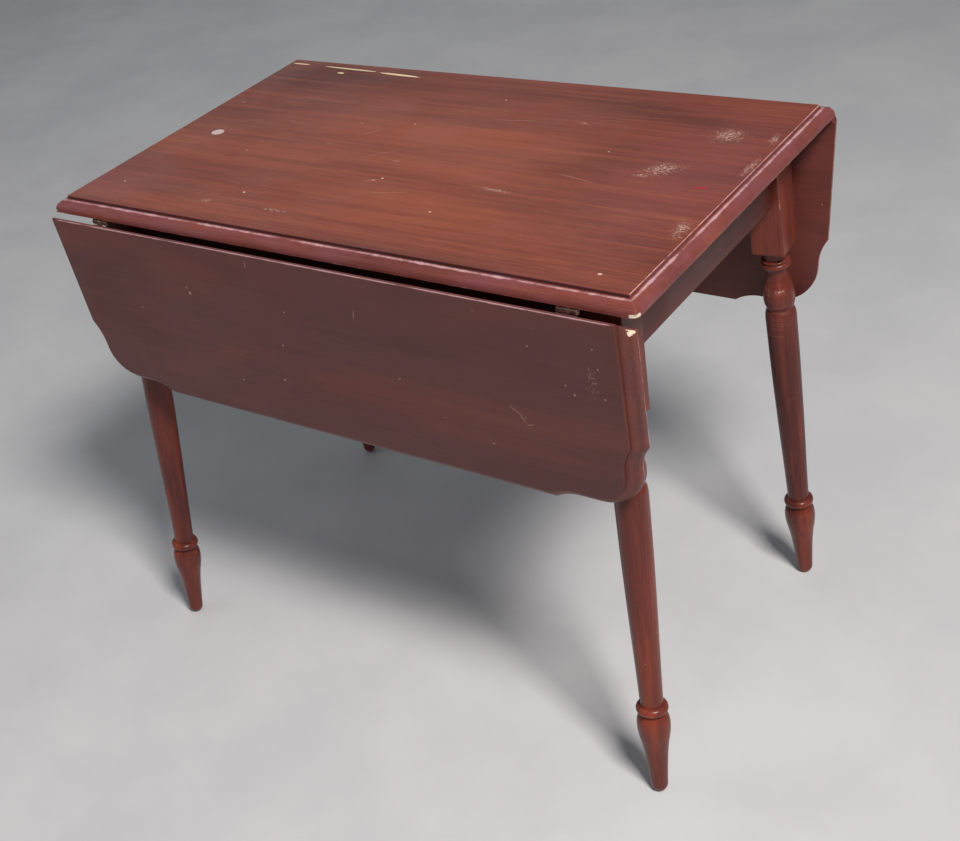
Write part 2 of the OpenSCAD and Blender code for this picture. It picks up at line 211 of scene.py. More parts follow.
def skin(name, levels, loop_at, chips, tweak, place=Matrix.Identity(4)):
    """A moulded board over its levels, rippled a little and chipped.

    tweak may change a point's wear, and says whether the point takes the ripple.
    """
    loops = []
    layers = {key: [] for key in LAYERS + ("chip",)}
    for inset, height, *values in levels:
        loop = []
        for p in loop_at(inset, height):
            worn = list(values)
            ripple = 0.1 * MM * noise.noise(Vector((p.x * 30, p.y * 30, height * 200))) * worn[1]
            if tweak(p, inset, height, worn):
                p = p + Vector((-math.copysign(ripple, p.x), -math.copysign(ripple, p.y), 0))
            p, bite = chipped(p, chips)
            loop.append(p)
            for key, value in zip(LAYERS + ("chip",), worn + [bite]):
                layers[key].append(value)
        loops.append(loop)
    return make_piece(name, loops, layers, place)


def top_side(p, inset, height, worn):
    """At the top's ends the step has hardly any grime and painted shade at its foot, and its arris is worn.
    """
    if abs(p.x) - HALF_L > abs(p.y) - HALF_W:
        worn[3] *= 0.2
        worn[0] += 0.5 if height > BOARD_T - ARRIS and inset < OVOLO_R + 2 * ARRIS else 0
    return True


def build_top():
    """The fixed top, with chips at three corners and one beside the front right corner."""
    front_right = Vector((HALF_L, -HALF_W, TOP_UNDER + 1 * MM))
    near_right = Vector((HALF_L - 27 * MM, -HALF_W, TOP_UNDER + 4 * MM))
    back_right = Vector((HALF_L, HALF_W, TOP_UNDER + 3 * MM))
    front_left = Vector((-HALF_L, -HALF_W, TOP_UNDER + 3 * MM))
    chips = [(front_right, 7 * MM, Vector((-1.6, 1.2, 1.0)) * MM),
             (near_right, 3 * MM, Vector((0, 0.5, 0)) * MM),
             (back_right, 4 * MM, Vector((-1.2, -0.9, 0.4)) * MM),
             (front_left, 4 * MM, Vector((0.9, 1.0, 0.5)) * MM)]
    top = skin("top", moulding_levels(), top_loop, chips, top_side)
    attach(top, "table")
    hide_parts("top_board")
    return top


def leaf_half_outline(inset, lip_v):
    """The outline of a leaf's left half from the lip to the middle of its outer edge, as (u, v)."""
    step_l = math.sqrt(STEP_IN * (2 * STEP_R - STEP_IN))
    step_v = LIP_V + END_STRAIGHT + step_l
    corner_u = STEP_IN + CORNER_R
    corner_v = LEAF_EDGE_V - STEP_IN - CORNER_R
    hollow = STEP_R + inset
    turn = math.degrees(math.acos((inset - STEP_IN + STEP_R) / hollow))
    hollow_edge_v = LEAF_EDGE_V - STEP_IN - inset
    end_arc = arc(STEP_IN - STEP_R, step_v, hollow, -turn, 0, 10)
    edge_arc = arc(EDGE_COVE_U, LEAF_EDGE_V - STEP_IN + STEP_R, hollow, -90, turn - 90, 10)
    points = line((inset, lip_v), end_arc[0], 40)
    points += end_arc[:-1]
    points += line(end_arc[-1], (STEP_IN + inset, corner_v), 4)
    points += arc(corner_u, corner_v, CORNER_R - inset, 180, 90, 22)[:-1]
    points += line((corner_u, hollow_edge_v), edge_arc[0], 6)
    points += edge_arc
    points += line(edge_arc[-1], (HALF_L, LEAF_EDGE_V - inset), 40)[1:]
    return points


def leaf_loop(inset, height):
    """One loop of the raised leaf, whose lip follows the hollow of the rule joint."""
    lip_v = -HINGE_OUT + math.sqrt(max(COVE_R ** 2 - height ** 2, JOINT_GAP ** 2)) + max(0, inset - OVOLO_R)
    half = leaf_half_outline(inset, lip_v)
    left = [(-HALF_L + u, v) for u, v in half]
    right = [(-x, v) for x, v in reversed(left)]
    lip = line(right[-1], left[0], 60)[1:]
    middle = [(0.0, LEAF_EDGE_V - inset)]
    return [Vector((x, v, PIN_DROP + height)) for x, v in reversed(left + middle + right + lip)]


def leaf_levels():
    """The moulding of a leaf, with a light line on its lower arris and a darker stripe of painted shade
    round its middle.
    """
    levels = []
    for inset, height, wear, mould, pale, dirt in moulding_levels():
        # Painted shade: a darker stripe halfway up the leaf's moulding.
        mid_stripe_shade = max(0, 1 - abs(height - 9.5 * MM) / (4 * MM))
        light = 0.9 if 0 < height < ARRIS else 0
        levels.append((inset, height, wear, mould, light, max(0.5 * mid_stripe_shade, 0.35 * dirt)))
    return levels


def leaf_lip(p, inset, height, worn):
    """True off the lip; along the lip, swaps the moulding's wear for a plain hollow and a rubbed edge."""
    hollow = math.sqrt(max(COVE_R ** 2 - height ** 2, JOINT_GAP ** 2)) - HINGE_OUT
    on_lip = p.y < hollow + max(0, inset - OVOLO_R) + 0.2 * MM and abs(p.x) < HALF_L - inset - MM
    if not on_lip:
        return True
    rubbed_and_sheen = 1 if height > BOARD_T - ARRIS and inset < OVOLO_R + 2 * ARRIS else 0
    worn[:] = [0.1, 0.2, rubbed_and_sheen, 0]
    return False


def build_leaf(side, turned, chips):
    """A leaf, hanging at rest. turned puts it on the front instead of the back."""
    place = Matrix.Translation((0, PIN_Y, PIN_Z)) @ Matrix.Rotation(-LEAF_TURN, 4, "X")
    if turned:
        place = Matrix.Rotation(math.pi, 4, "Z") @ place
    leaf = skin(side + "_leaf_board", leaf_levels(), leaf_loop, chips, leaf_lip, place)
    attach(leaf, side + "_leaf")
    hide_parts(side + "_leaf")
    return leaf


# The turned leg in millimetres: (distance from the tip, radius) down each smooth stretch
FOOT = [(11.2, 11.2), (30, 12.4), (50, 13.9), (68, 15.6), (84, 17.8), (97, 20.2), (108, 21.4), (118, 21.4),
        (125, 20.2), (129, 18.2)]
COLUMN = [(148, 14.8), (200, 15.9), (260, 17.5), (320, 18.9), (380, 20), (440, 20.6)]
SHOULDER = [(455, 20.7), (464, 20.6), (470, 19.6), (474, 17.2)]
VASE = [(477, 17.2), (481, 19.3), (488, 20.6), (497, 20.6), (507, 19.2), (517, 16.5), (525, 14.3),
        (532, 13.3)]
# Turned rings: (distance of the crest from the tip, radius of the core, radius of the ring)
RING = (140, 14.2, 6.6)
DISC = (542.5, 15, 4.6)
BEAD = (549.2, 17, 1.8)
NECK_R = 15


def spline(stations, steps):
    """A smooth curve through the stations, with the wear of each point left at 0."""
    points = []
    last = len(stations) - 1
    for i in range(last):
        a, b = stations[max(i - 1, 0)], stations[i]
        c, d = stations[i + 1], stations[min(i + 2, last)]
        for k in range(steps):
            t = k / steps
            points.append(tuple(
                (2 * b[n] + (c[n] - a[n]) * t + (2 * a[n] - 5 * b[n] + 4 * c[n] - d[n]) * t * t
                 + (3 * b[n] - a[n] - 3 * c[n] + d[n]) * t * t * t) / 2 for n in (0, 1)) + (0.0,))
    return points + [stations[last] + (0.0,)]


def bulge(middle, core, r, start, end, steps, wear):
    """A turned ring; its crest is worn."""
    points = []
    for k in range(steps + 1):
        t = math.radians(start + (end - start) * k / steps)
        points.append((middle - r * math.cos(t), core + r * math.sin(t), wear * max(0, math.sin(t)) ** 3))
    return points


def leg_profile():
    """(distance from the tip, radius, wear) from the tip to the neck under the block, in millimetres."""
    tip = [(TIP_R - TIP_R * math.cos(math.radians(9 * k)), TIP_R * math.sin(math.radians(9 * k)), 0.6)
           for k in range(1, 10)]
    foot = [(a, r, 0.45 if a < 24 else 0.0) for a, r, w in spline(FOOT, 6)]
    shoulder = [(a, r, 0.4 if a > 462 else 0.1) for a, r, w in spline(SHOULDER, 8)]
    vase = [(a, r, 0.6 if 486 < a < 516 else 0.1) for a, r, w in spline(VASE, 7)]
    return (tip + foot + bulge(*RING, 12, 176, 18, 0.5) + spline(COLUMN, 12) + shoulder + vase
            + bulge(*DISC, 10, 160, 16, 0.5) + bulge(*BEAD, 20, 170, 8, 0.6)
            + [(BEAD[0] + BEAD[2] + 1, NECK_R, 0.0), (BLOCK_A - 4, NECK_R, 0.0), (BLOCK_A, NECK_R, 0.0)])


def square_outline(half, edge):
    """A square with rounded corners, as points that all legs' loops share by angle."""
    points = []
    flat = half - edge
    for quarter in range(4):
        turn = math.radians(90 * quarter)
        side = [(half, y) for y in [flat * (2 * k / 20 - 1) for k in range(21)]]
        corner = arc(flat, flat, edge, 0, 90, 4)[1:-1]
        for x, y in side + corner:
            turned_x = x * math.cos(turn) - y * math.sin(turn)
            turned_y = x * math.sin(turn) + y * math.cos(turn)
            points.append((turned_x, turned_y))
    return points


def build_leg(name, sx, sy):
    """A splayed leg: the turned part, its shoulder and the square block up to the top's underside."""
    tilt = Euler((math.radians(SPLAY[0]), math.radians(SPLAY[1]), 0), "XYZ").to_matrix().to_4x4()
    place = Matrix.Translation(LEG_TIP) @ tilt
    square = square_outline(BLOCK_HALF, BLOCK_EDGE)
    angles = [math.atan2(y, x) for x, y in square]
    loops, wear, turned = [], [], []
    for a, r, worn in leg_profile():
        loops.append([Vector((r * math.cos(t), r * math.sin(t), a - TIP_R)) * MM for t in angles])
        wear += [worn] * len(angles)
        turned += [1.0] * len(angles)
    shoulder = [(0.93, 0, 0.1), (0.985, 0.15, 0.5), (1, 1.0, 0.4), (1, 4, 0.0)]
    for scale, rise, worn in shoulder:
        loops.append([Vector((x * scale, y * scale, BLOCK_A - TIP_R + rise)) * MM for x, y in square])
        wear += [max(worn, arris_wear(x, y)) for x, y in square]
    across = tilt.to_3x3() @ Vector((0, 0, 1))
    for share in [k / 24 for k in range(1, 25)]:
        loop = []
        for x, y in square:
            base = Vector((x, y, BLOCK_A - TIP_R + 4)) * MM
            rise = (TOP_UNDER - (place @ base).z) / across.z
            loop.append(base + Vector((0, 0, rise * share)))
        loops.append(loop)
        wear += [arris_wear(x, y) for x, y in square]
    turned += [0.0] * (len(wear) - len(turned))
    mirrored = Matrix.Diagonal((sx, sy, 1, 1)) @ place
    leg = make_piece(name, loops, {"wear": wear, "turned": turned}, mirrored, LEG_SMOOTH_ANGLE)
    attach(leg, "table")
    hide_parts(name.replace("turned_leg", "leg"))
    return leg


def arris_wear(x, y):
    """The wear of a point on the block, high on its four arrises."""
    near = BLOCK_HALF - BLOCK_EDGE
    return 0.62 if abs(x) > near and abs(y) > near else 0.0


# ---------------------------------------------------------------- materials

def rgb(r, g, b):
    """A display colour, 0 to 255, as the linear colour that a shader takes."""
    def linear(v):
        v = v / 255
        return v / 12.92 if v <= 0.04045 else ((v + 0.055) / 1.055) ** 2.4
    return (linear(r), linear(g), linear(b), 1)


class Paint:
    """A material and short ways to add nodes to it. Sockets and plain numbers can both be inputs.

    own is for the meshes made here, which carry their grain's place as an attribute.
    """

    def __init__(self, name, roughness=0.4, metallic=0.0, coat=0.0, coat_roughness=0.3, specular=0.5,
                 own=False):
        self.material = bpy.data.materials.new(name)
        self.material.use_nodes = True
        self.tree = self.material.node_tree
        self.shader = self.tree.nodes["Principled BSDF"]
        self.shader.inputs["Roughness"].default_value = roughness
        self.shader.inputs["Metallic"].default_value = metallic
        self.shader.inputs["Coat Weight"].default_value = coat
        self.shader.inputs["Coat Roughness"].default_value = coat_roughness
        self.shader.inputs["Specular IOR Level"].default_value = specular
        if own:
            grain = self.tree.nodes.new("ShaderNodeAttribute")
            grain.attribute_name = "grain"
            self.place = grain.outputs["Vector"]
        else:
            self.place = self.tree.nodes.new("ShaderNodeTexCoord").outputs["Object"]

    def join(self, value, socket):
        if isinstance(value, bpy.types.NodeSocket):
            self.tree.links.new(value, socket)
        else:
            socket.default_value = value

    def mapped(self, scale=(1, 1, 1), at=(0, 0, 0), turn=(0, 0, 0), kind="POINT"):
        node = self.tree.nodes.new("ShaderNodeMapping")
        node.vector_type = kind
        self.tree.links.new(self.place, node.inputs["Vector"])
        node.inputs["Location"].default_value = at
        node.inputs["Rotation"].default_value = turn
        node.inputs["Scale"].default_value = scale
        return node.outputs["Vector"]

    def noise(self, scale, detail=3, roughness=0.5, distortion=0.0, at=(0, 0, 0)):
        node = self.tree.nodes.new("ShaderNodeTexNoise")
        node.inputs["Scale"].default_value = 1
        node.inputs["Detail"].default_value = detail
        node.inputs["Roughness"].default_value = roughness
        node.inputs["Distortion"].default_value = distortion
        self.tree.links.new(self.mapped(scale, at), node.inputs["Vector"])
        return node.outputs["Fac"]

    def cells(self, scale, at=(0, 0, 0)):
        """Distance to the nearest of scattered points, and a random value for each."""
        node = self.tree.nodes.new("ShaderNodeTexVoronoi")
        node.inputs["Scale"].default_value = 1
        self.tree.links.new(self.mapped(scale, at), node.inputs["Vector"])
        pick = self.tree.nodes.new("ShaderNodeSeparateColor")
        self.tree.links.new(node.outputs["Color"], pick.inputs[0])
        return node.outputs["Distance"], pick.outputs[0]

    def ramp(self, value, stops):
        node = self.tree.nodes.new("ShaderNodeValToRGB")
        node.color_ramp.interpolation = "EASE"
        while len(node.color_ramp.elements) < len(stops):
            node.color_ramp.elements.new(0.5)
        for element, (position, colour) in zip(node.color_ramp.elements, stops):
            element.position = position
            element.color = colour if isinstance(colour, tuple) else (colour, colour, colour, 1)
        self.join(value, node.inputs["Fac"])
        return node.outputs["Color"]

    def step(self, value, low, high, out_low=0.0, out_high=1.0):
        """Runs smoothly from out_low to out_high while value goes from low to high."""
        node = self.tree.nodes.new("ShaderNodeMapRange")
        node.interpolation_type = "SMOOTHSTEP"
        for key, v in (("Value", value), ("From Min", low), ("From Max", high),
                       ("To Min", out_low), ("To Max", out_high)):
            self.join(v, node.inputs[key])
        return node.outputs["Result"]

    def math(self, kind, a, b=0.0):
        node = self.tree.nodes.new("ShaderNodeMath")
        node.operation = kind
        self.join(a, node.inputs[0])
        self.join(b, node.inputs[1])
        return node.outputs[0]

    def mix(self, share, a, b, kind="MIX"):
        node = self.tree.nodes.new("ShaderNodeMix")
        node.data_type = "RGBA"
        node.blend_type = kind
        self.join(share, node.inputs["Factor"])
        self.join(a, node.inputs[6])
        self.join(b, node.inputs[7])
        return node.outputs[2]

    def attribute(self, name):
        node = self.tree.nodes.new("ShaderNodeAttribute")
        node.attribute_name = name
        return node.outputs["Fac"]

    def height(self):
        """Height of a point in the piece's own frame."""
        node = self.tree.nodes.new("ShaderNodeSeparateXYZ")
        self.tree.links.new(self.place, node.inputs[0])
        return node.outputs["Z"]

    def mark(self, x, y, half_l, half_w, turn=0.0):
        """1 in the middle of an oval on the board's face, falling to 0 at its edge."""
        around = self.mapped((half_l, half_w, 1), (x, y, 0), (0, 0, math.radians(turn)), "TEXTURE")
        flat = self.tree.nodes.new("ShaderNodeVectorMath")
        flat.operation = "MULTIPLY"
        flat.inputs[1].default_value = (1, 1, 0)
        self.tree.links.new(around, flat.inputs[0])
        size = self.tree.nodes.new("ShaderNodeVectorMath")
        size.operation = "LENGTH"
        self.tree.links.new(flat.outputs[0], size.inputs[0])
        return self.step(size.outputs["Value"], 1.0, 0.0)

    def most(self, values):
        total = values[0]
        for v in values[1:]:
            total = self.math("MAXIMUM", total, v)
        return total

    def bump(self, height, distance, under=None):
        node = self.tree.nodes.new("ShaderNodeBump")
        node.inputs["Strength"].default_value = 1
        node.inputs["Distance"].default_value = distance
        self.join(height, node.inputs["Height"])
        if under is not None:
            self.tree.links.new(under, node.inputs["Normal"])
        return node.outputs["Normal"]

    def finish(self, colour, roughness=None, normal=None):
        self.join(colour, self.shader.inputs["Base Color"])
        if roughness is not None:
            self.join(roughness, self.shader.inputs["Roughness"])
        if normal is not None:
            self.join(normal, self.shader.inputs["Normal"])
        return self.material


def along(axis, length, across):
    """Texture scale of wood grain that runs along an axis: low along it, high across it."""
    return tuple(length if n == axis else across for n in "XYZ")


PALE = rgb(226, 194, 178)
BARE_EDGE = rgb(214, 170, 160)
BARE_CHIP = rgb(232, 212, 190)
# Grime and painted shade, for the step's foot.
DIRT_AND_SHADE = rgb(44, 20, 22)
# Worn finish and a painted highlight, for the crown line.
CROWN_WEAR_AND_HIGHLIGHT = rgb(206, 166, 170)
FLECK = rgb(206, 170, 172)
SPECK = rgb(206, 164, 144)
RUBBED_THIN = rgb(172, 84, 60)


def worn_moulding(p, colour, rubbed_and_sheen, fine, at):
    """A board's moulded edge: the worn stain with a painted sheen, grime and painted shade in its step, the
    crown line of worn finish and painted highlight, and flecks.
    """
    mould = p.attribute("mould")
    patchy = p.noise((14, 14, 90), 4, 0.6, 0.3, at)
    # The moulding's colour is worn stain with a painted sky sheen.
    hazy_rub_and_sheen = p.mix(p.step(patchy, 0.38, 0.66), colour, rubbed_and_sheen)
    colour = p.mix(p.math("MULTIPLY", mould, 0.55), colour, rubbed_and_sheen)
    colour = p.mix(p.math("MULTIPLY", mould, 0.6), colour, hazy_rub_and_sheen)
    # Grime and painted shade at the step's foot.
    dirt = p.attribute("dirt")
    colour = p.mix(p.math("MULTIPLY", dirt, 0.8), colour, DIRT_AND_SHADE)
    # The crown line: worn finish and a painted highlight.
    pale = p.attribute("pale")
    broken = p.noise((26, 26, 26), 5, 0.75, 0.3, at)
    crown = p.step(p.math("ADD", p.math("MULTIPLY", pale, 0.5), broken), 0.70, 1.0)
    strength = p.step(pale, 0.0, 0.3, 0, 0.75)
    colour = p.mix(p.math("MULTIPLY", crown, strength), colour, CROWN_WEAR_AND_HIGHLIGHT)
    flecks = p.step(p.math("ADD", p.math("MULTIPLY", mould, 0.2), fine), 0.86, 0.94, 0, 0.4)
    return p.mix(flecks, colour, FLECK)


def stained_wood(name, dark, middle, light, axis="X", contrast=1.0, gloss=0.34, rubbed_and_sheen=None, marks=None,
                 own=True, seed=0):
    """Wood under an old red-brown stain: clouds, streaks, grain, pores, specks, worn edges and chips; given
    a moulding colour, the moulded edge also gets a painted sheen, a painted highlight line and painted
    shade in its step.
    """
    p = Paint(name, coat=0.12, coat_roughness=0.16, specular=0.22, own=own)
    at = (seed * 3.1, seed * 1.7, seed * 2.3)
    cloud = p.noise(along(axis, 2.2, 8), 4, 0.55, 0.4, at)
    colour = p.ramp(cloud, [(0.30, dark), (0.50, middle), (0.70, light)])
    streak = p.noise(along(axis, 1.8, 90), 5, 0.62, 0.2, at)
    colour = p.mix(p.step(streak, 0.48, 0.75, 0, 0.6 * contrast), colour, light)
    colour = p.mix(p.step(streak, 0.5, 0.26, 0, 0.45 * contrast), colour, dark)
    grain = p.noise(along(axis, 9, 620), 3, 0.6, 0.1, at)
    shade = 0.24 * contrast
    colour = p.mix(1.0, colour, p.ramp(grain, [(0.3, 1 - shade), (0.7, 1 + 0.25 * shade)]), "MULTIPLY")
    pores = p.noise(along(axis, 42, 1500), 2, 0.5, 0.0, at)
    pore = p.step(pores, 0.40, 0.33)
    colour = p.mix(p.math("MULTIPLY", pore, 0.3 * contrast), colour, dark_of(dark))
    fine = p.noise((420, 420, 420), 3, 0.7, 0.0, at)
    coarse = p.noise((38, 38, 38), 4, 0.65, 0.3, at)
    ragged = p.math("ADD", p.math("MULTIPLY", fine, 0.45), p.math("MULTIPLY", coarse, 0.75))
    if rubbed_and_sheen is not None:
        colour = worn_moulding(p, colour, rubbed_and_sheen, fine, at)
    wear = p.attribute("wear")
    bare = p.step(p.math("ADD", p.math("MULTIPLY", wear, 0.62), ragged), 1.04, 1.2)
    glow = p.step(p.math("ADD", p.math("MULTIPLY", wear, 0.6), p.math("MULTIPLY", coarse, 0.8)), 0.72, 1.05)
    colour = p.mix(p.math("MULTIPLY", glow, 0.4), colour, RUBBED_THIN)
    colour = p.mix(p.math("MULTIPLY", bare, 0.8), colour, BARE_EDGE)
    far, pick = p.cells((70, 70, 70), at)
    speck = p.math("MULTIPLY", p.step(far, 0.075, 0.03), p.step(pick, 0.90, 0.91))
    colour = p.mix(p.math("MULTIPLY", speck, 0.55), colour, SPECK)
    smudge = p.noise((7, 7, 7), 5, 0.6, 0.6, at)
    rough = p.step(smudge, 0.3, 0.7, gloss - 0.07, gloss + 0.1)
    if marks is not None:
        colour, rough = marks(p, colour, rough, fine)
    chip = p.attribute("chip")
    chipped_away = p.step(p.math("ADD", chip, p.math("MULTIPLY", fine, 0.3)), 0.42, 0.55)
    colour = p.mix(chipped_away, colour, BARE_CHIP)
    rough = p.math("MAXIMUM", rough, p.math("MULTIPLY", p.math("MAXIMUM", bare, chipped_away), 0.62))
    relief = p.math("SUBTRACT", p.math("MULTIPLY", grain, 0.5), p.math("MULTIPLY", pore, 0.8))
    normal = p.bump(relief, 0.00006)
    dents = p.math("SUBTRACT", coarse, p.math("MULTIPLY", bare, 0.5))
    return p.finish(colour, rough, p.bump(dents, 0.00014, normal))


def dark_of(colour):
    """The colour of pores in wood of this colour."""
    return (colour[0] * 0.35, colour[1] * 0.35, colour[2] * 0.35, 1)


def face_only(p, under):
    """1 on the upper face of a board whose underside is at this height, and 0 below its arris."""
    return p.step(p.height(), under + BOARD_T - 0.4 * MM, under + BOARD_T - 0.1 * MM)


def top_marks(p, colour, rough, fine):
    """The warm middle, scratches, scuffs and spots of the top, placed by p.mark in metres from its centre.

    The scuffs, the long scratches, the warm stretches and the painted sky sheen are kept to the upper face.
    The dots, the spot, the red mark and the faint scratches go through to the underside.
    """
    upper = face_only(p, TOP_UNDER)
    bands = p.noise((1.6, 26, 1), 4, 0.6, 0.3)
    warm = p.most([p.mark(-0.02, 0.02, 0.40, 0.26), p.mark(0.06, -0.16, 0.34, 0.12)])
    warm = p.math("MULTIPLY", warm, p.step(bands, 0.34, 0.62, 0.15, 1))
    colour = p.mix(p.math("MULTIPLY", warm, p.math("MULTIPLY", upper, 0.55)), colour, rgb(162, 82, 50))
    # Painted reflection: a lilac sky sheen on the top's right and front left.
    painted_sky_sheen = p.most([p.mark(0.36, 0.04, 0.14, 0.26), p.mark(-0.40, -0.20, 0.16, 0.10, 20)])
    colour = p.mix(p.math("MULTIPLY", painted_sky_sheen, p.math("MULTIPLY", upper, 0.4)), colour, rgb(132, 76, 78))
    scuffs = p.most([
        p.mark(0.315, 0.030, 0.065, 0.046, 35), p.mark(0.300, 0.008, 0.030, 0.012, 10),
        p.mark(0.350, 0.140, 0.055, 0.055, 30), p.mark(0.408, 0.142, 0.016, 0.050, 5),
        p.mark(0.412, 0.060, 0.014, 0.070, 0), p.mark(0.405, -0.105, 0.024, 0.060, 10),
        p.mark(0.150, -0.076, 0.085, 0.010, -4), p.mark(0.155, 0.133, 0.024, 0.010, 0),
        p.mark(-0.022, -0.095, 0.024, 0.008, 30), p.mark(-0.027, -0.036, 0.012, 0.012, 60),
        p.mark(-0.154, -0.009, 0.014, 0.008, 20), p.mark(-0.095, -0.205, 0.060, 0.010, 0),
        p.mark(-0.207, -0.208, 0.020, 0.014, 35), p.mark(-0.390, 0.085, 0.020, 0.007, 0)])
    streaky = p.noise((330, 620, 60), 4, 0.8, 0.5)
    gate = p.math("SUBTRACT", 0.765, p.math("MULTIPLY", scuffs, 0.27))
    scuffed = p.math("MULTIPLY", p.step(p.math("SUBTRACT", streaky, gate), 0.0, 0.07), upper)
    colour = p.mix(p.math("MULTIPLY", scuffed, 0.7), colour, PALE)
    scratches = p.most([
        p.mark(-0.398, 0.2395, 0.026, 0.0026, -1), p.mark(-0.300, 0.2365, 0.080, 0.0028, -2),
        p.mark(-0.205, 0.2310, 0.058, 0.0038, -3), p.mark(-0.306, 0.2190, 0.010, 0.0036, 0)])
    broken = p.step(p.math("ADD", scratches, p.math("MULTIPLY", fine, 0.5)), 0.52, 0.60)
    colour = p.mix(p.math("MULTIPLY", broken, upper), colour, rgb(240, 220, 178))
    faint = p.most([
        p.mark(-0.117, 0.038, 0.024, 0.0009, 53), p.mark(0.060, 0.120, 0.060, 0.0009, 8),
        p.mark(-0.060, -0.020, 0.040, 0.0008, 40), p.mark(0.230, -0.020, 0.050, 0.0009, -12),
        p.mark(0.020, -0.120, 0.045, 0.0007, 15), p.mark(-0.250, 0.040, 0.035, 0.0007, -8)])
    colour = p.mix(p.math("MULTIPLY", p.step(faint, 0.2, 0.7), 0.3), colour, PALE)
    dots = p.most([p.mark(x, y, r, r * 0.8) for x, y, r in (
        (-0.171, -0.173, 0.0034), (0.104, -0.151, 0.0026), (-0.072, 0.076, 0.0022), (0.370, -0.225, 0.0040),
        (-0.369, -0.193, 0.0024), (-0.150, 0.060, 0.0018), (0.230, 0.060, 0.0020), (-0.260, -0.060, 0.0020),
        (0.010, 0.180, 0.0022), (-0.012, -0.086, 0.0030))])
    colour = p.mix(p.math("MULTIPLY", p.step(dots, 0.15, 0.4), 0.75), colour, PALE)
    rim = p.step(p.mark(-0.354, -0.018, 0.0150, 0.0135), 0.05, 0.3)
    blot = p.mark(-0.350, -0.019, 0.0125, 0.0115)
    spot = p.step(p.math("ADD", blot, p.math("MULTIPLY", fine, 0.12)), 0.16, 0.22)
    colour = p.mix(p.math("MULTIPLY", rim, 0.5), colour, rgb(96, 44, 62))
    colour = p.mix(p.math("MULTIPLY", spot, 0.95), colour, rgb(206, 182, 180))
    scribble = p.mark(0.381, -0.005, 0.014, 0.004, 25)
    red = p.step(p.math("ADD", scribble, p.math("MULTIPLY", fine, 0.4)), 0.5, 0.66)
    colour = p.mix(p.math("MULTIPLY", red, 0.7), colour, rgb(176, 26, 38))
    rough = p.math("ADD", rough, p.math("MULTIPLY", p.most([scuffed, spot, broken]), 0.25))
    return colour, rough


def front_leaf_marks(p, colour, rough, fine):
    """Specks and short scratches on the front leaf's outer face, whose x runs right to left."""
    outer = face_only(p, PIN_DROP)
    dots = p.most([p.mark(-x, v, r, r) for x, v, r in (
        (-0.039, 0.066, 0.0020), (-0.058, 0.120, 0.0020), (-0.073, 0.178, 0.0026), (-0.197, 0.068, 0.0036),
        (0.390, 0.027, 0.0016), (0.394, 0.052, 0.0016), (0.398, 0.091, 0.0018), (0.361, 0.094, 0.0020),
        (0.351, 0.083, 0.0016), (0.310, 0.040, 0.0016), (0.120, 0.130, 0.0018), (-0.300, 0.110, 0.0018),
        (0.240, 0.196, 0.0018), (-0.150, 0.196, 0.0018))])
    lines = p.most([
        p.mark(0.081, 0.005, 0.009, 0.0008, 80), p.mark(-0.073, 0.048, 0.012, 0.0008, 75),
        p.mark(0.200, 0.060, 0.006, 0.0008, 60), p.mark(-0.279, 0.136, 0.014, 0.0008, -30),
        p.mark(-0.288, 0.146, 0.010, 0.0008, -60), p.mark(-0.296, 0.153, 0.009, 0.0008, 20)])
    rub = p.most([p.mark(-0.288, 0.142, 0.022, 0.016, 10), p.mark(-0.385, 0.070, 0.020, 0.060, 0)])
    speckle = p.step(p.math("ADD", fine, p.math("MULTIPLY", rub, 0.22)), 0.76, 0.84)
    seen = p.math("MULTIPLY", p.most([p.step(dots, 0.15, 0.4), p.step(lines, 0.2, 0.5),
                                      p.math("MULTIPLY", speckle, rub)]), outer)
    return p.mix(p.math("MULTIPLY", seen, 0.5), colour, rgb(206, 166, 146)), rough


def leg_marks(p, colour, rough, fine):
    """Rub marks round the turned part, and a warmer glow in streaks down the whole leg."""
    turned = p.attribute("turned")
    rings = p.noise((10, 10, 640), 3, 0.6, 0.2)
    patch = p.noise((30, 30, 11), 4, 0.65, 0.5)
    seen = p.math("MULTIPLY", p.step(rings, 0.52, 0.66), p.step(patch, 0.52, 0.68))
    colour = p.mix(p.math("MULTIPLY", seen, p.math("MULTIPLY", turned, 0.4)), colour, rgb(196, 112, 84))
    glow = p.noise((46, 46, 3.5), 4, 0.6, 0.2)
    colour = p.mix(p.math("MULTIPLY", p.step(glow, 0.5, 0.7), 0.4), colour, rgb(160, 70, 42))
    return colour, rough


def bare_wood(name, dark, light, axis, seed):
    """Planed hardwood with no stain, greyed by age."""
    p = Paint(name, roughness=0.62, specular=0.3)
    at = (seed * 2.3, seed * 4.1, seed)
    cloud = p.noise(along(axis, 3, 14), 4, 0.6, 0.6, at)
    grain = p.noise(along(axis, 8, 380), 4, 0.65, 0.2, at)
    rings = p.noise(along(axis, 1.4, 60), 4, 0.6, 0.8, at)
    colour = p.ramp(cloud, [(0.3, dark), (0.7, light)])
    colour = p.mix(p.step(rings, 0.42, 0.6, 0, 0.5), colour, dark)
    colour = p.mix(1.0, colour, p.ramp(grain, [(0.3, 0.68), (0.7, 1.06)]), "MULTIPLY")
    return p.finish(colour, p.step(cloud, 0.3, 0.7, 0.55, 0.72), p.bump(grain, 0.00012))


